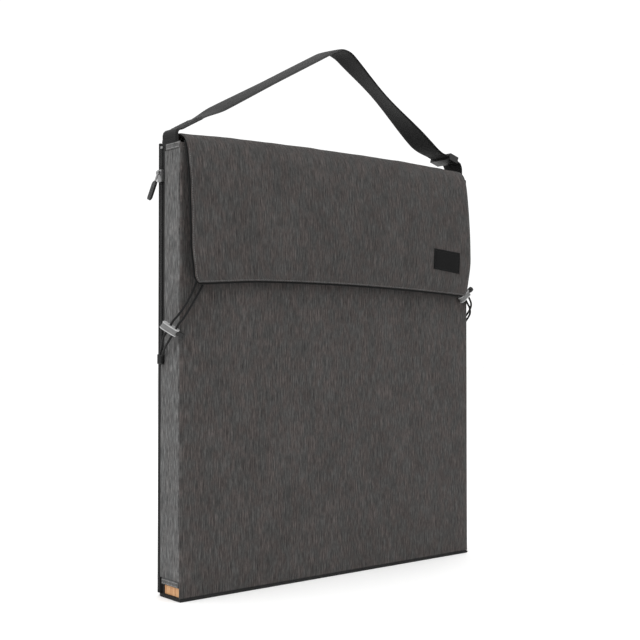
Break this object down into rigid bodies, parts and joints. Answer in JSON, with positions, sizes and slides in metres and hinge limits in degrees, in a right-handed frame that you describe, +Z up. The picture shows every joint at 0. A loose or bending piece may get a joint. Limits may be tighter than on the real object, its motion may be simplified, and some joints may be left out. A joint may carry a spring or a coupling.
{
  "type": "portfolio case",
  "caption": "Tall flat fabric portfolio case for drawing boards, with a cover flap held by elastic cords, a webbing carry strap and a zipped back pocket.",
  "frame": {"origin": "centre of the base's underside", "axes": "+X towards the side without the zip, the front face looks towards -Y, +Z up"},
  "size_m": [0.5662, 0.0728, 0.7546],
  "materials": {
    "shell_cloth": "matt melange grey woven polyester",
    "side_cloth": "matt melange grey woven polyester",
    "black_cloth": "matt black woven lining and tape",
    "webbing": "black polyester webbing, slight sheen",
    "elastic_cord": "black braided elastic cord",
    "board_wood": "bare sawn and sanded wood",
    "stiffener_sheet": "plain sheet, sealed inside",
    "grey_plastic": "moulded satin plastic",
    "black_plastic": "moulded satin plastic",
    "zip_metal": "polished zinc",
    "spring_steel": "bright wire",
    "patch_leather": "black smooth leather look, debossed border"
  },
  "bodies": {
    "case": {"front_panel": "shell_cloth", "front_stiffener": "stiffener_sheet", "divider_panel": "black_cloth", "pocket_panel": "shell_cloth", "base_panel": "black_cloth", "left_gusset": "side_cloth", "right_gusset": "side_cloth", "left_gusset_hem": "side_cloth", "right_gusset_hem": "side_cloth", "left_top_hem": "side_cloth", "right_top_hem": "side_cloth", "left_back_edge": "black_cloth", "right_back_edge": "black_cloth", "left_lower_edge": "black_cloth", "top_strip": "shell_cloth", "zip_tape_front": "black_cloth", "zip_tape_back": "black_cloth", "zip_coil": "black_plastic", "zip_stops": "zip_metal", "front_board": "board_wood", "middle_board": "board_wood", "back_board": "board_wood", "left_strap_anchor": "webbing", "right_strap_anchor": "webbing", "strap_buckle": "black_plastic", "left_cord_anchor": "webbing", "right_cord_anchor": "webbing", "left_cord": "elastic_cord", "right_cord": "elastic_cord"},
    "flap": {"flap_panel": "shell_cloth", "flap_lining": "black_cloth", "label_patch": "patch_leather", "left_flap_peg": "black_plastic", "right_flap_peg": "black_plastic"},
    "strap": {"strap_webbing": "webbing"},
    "zip_slider": {"zip_slider": "zip_metal"},
    "zip_pull": {"zip_pull": "zip_metal", "pull_tab": "black_plastic"},
    "left_lock": {"left_lock_body": "grey_plastic", "left_lock_spring": "spring_steel"},
    "left_button": {"left_lock_button": "black_plastic"},
    "right_lock": {"right_lock_body": "grey_plastic", "right_lock_spring": "spring_steel"},
    "right_button": {"right_lock_button": "black_plastic"}
  },
  "joints": [
    {"name": "flap_lift", "type": "hinge", "parent": "case", "child": "flap", "pos_m": [0, -0.022, 0.6], "axis": [-1, 0, 0], "range_deg": [0, 120]},
    {"name": "strap_fold", "type": "hinge", "parent": "case", "child": "strap", "pos_m": [0, 0, 0.624], "axis": [-1, 0, 0], "range_deg": [0, 90]},
    {"name": "zip_run", "type": "slide", "parent": "case", "child": "zip_slider", "axis": [0, 0, -1], "range_m": [-0.025, 0.215]},
    {"name": "pull_swing", "type": "hinge", "parent": "zip_slider", "child": "zip_pull", "pos_m": [-0.271, 0.0185, 0.55], "axis": [0, 1, 0], "range_deg": [-18, 130]},
    {"name": "left_lock_slide", "type": "slide", "parent": "case", "child": "left_lock", "axis": [0.2224, -0.5348, 0.8152], "range_m": [-0.006, 0.006]},
    {"name": "left_button_press", "type": "slide", "parent": "left_lock", "child": "left_button", "axis": [-0.6591, 0.5337, 0.5299], "range_m": [0, 0.003], "stiffness_N_per_m": 400, "springref_m": -0.002, "deforming": ["left_lock_spring"]},
    {"name": "right_lock_slide", "type": "slide", "parent": "case", "child": "right_lock", "axis": [-0.6, 0, 0.8], "range_m": [-0.006, 0.003]},
    {"name": "right_button_press", "type": "slide", "parent": "right_lock", "child": "right_button", "axis": [-0.8, 0, -0.6], "range_m": [0, 0.003], "stiffness_N_per_m": 400, "springref_m": -0.002, "deforming": ["right_lock_spring"]}
  ]
}
